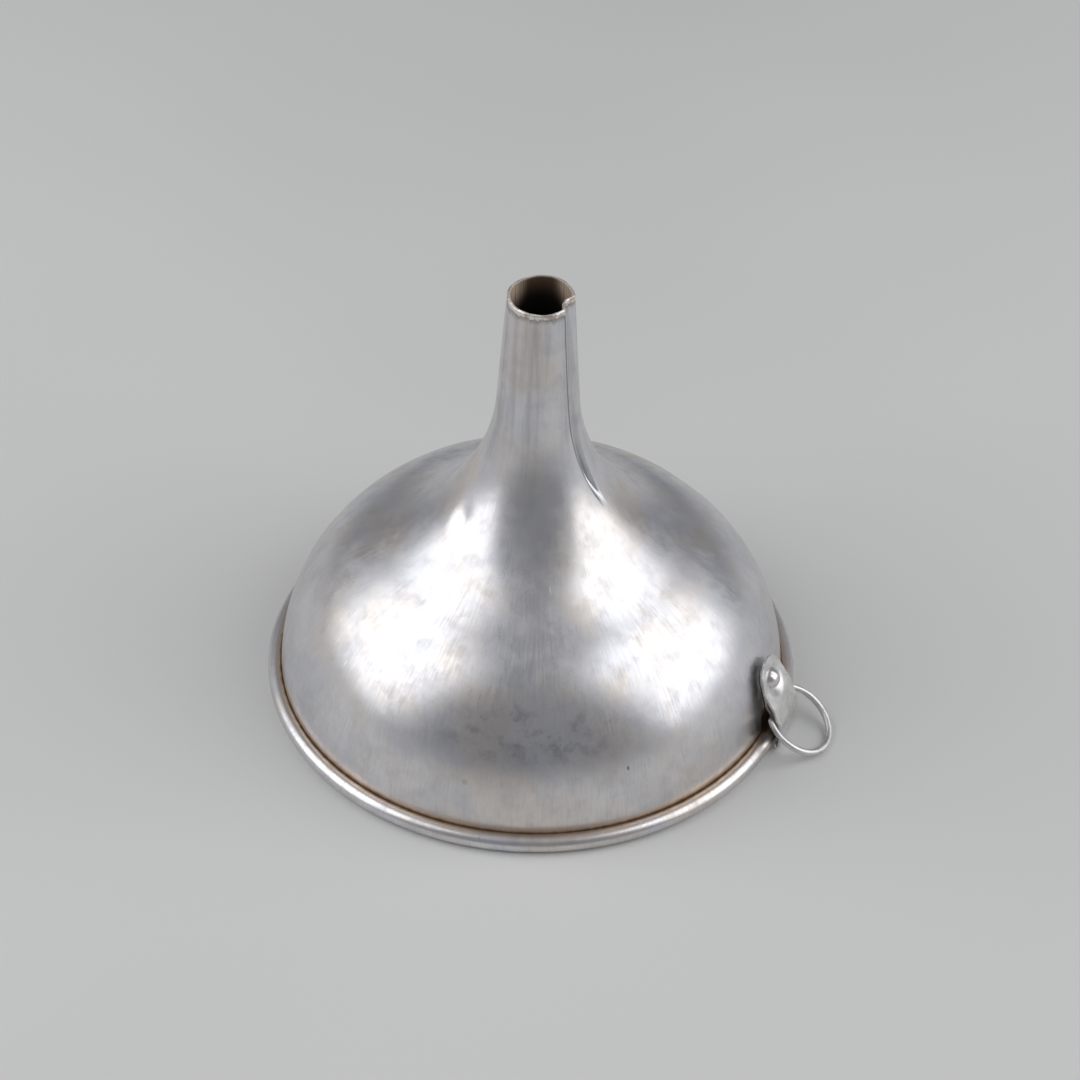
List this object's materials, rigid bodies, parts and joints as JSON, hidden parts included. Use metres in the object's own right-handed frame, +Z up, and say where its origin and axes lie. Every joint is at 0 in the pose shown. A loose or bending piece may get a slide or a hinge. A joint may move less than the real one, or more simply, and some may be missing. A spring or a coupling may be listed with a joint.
{
  "type": "kitchen funnel",
  "caption": "Domed metal funnel with a straight tapered spout, a rolled rim and a riveted strap that carries a swinging wire hanging ring.",
  "frame": {"origin": "centre of the mouth, on the flat plane the rolled rim rests on", "axes": "+Z up the funnel from the mouth to the spout tip, +X from the centre out to the strap and hanging ring"},
  "size_m": [0.125, 0.1142, 0.0995],
  "materials": {
    "body_aluminium": "satin, aged, fine circumferential spinning lines",
    "lug_aluminium": "satin, aged, with grime in the folds",
    "rivet_aluminium": "satin, polished on the crown by wear",
    "ring_wire": "drawn wire, dull"
  },
  "bodies": {
    "funnel": {"funnel_body": "body_aluminium", "ring_lug": "lug_aluminium", "lug_rivet": "rivet_aluminium"},
    "ring": {"hanging_ring": "ring_wire"}
  },
  "joints": [
    {"name": "ring_swing", "type": "hinge", "parent": "funnel", "child": "ring", "pos_m": [0.0559, 0, 0.00791], "axis": [0, -1, 0], "range_deg": [-40, 140]}
  ]
}
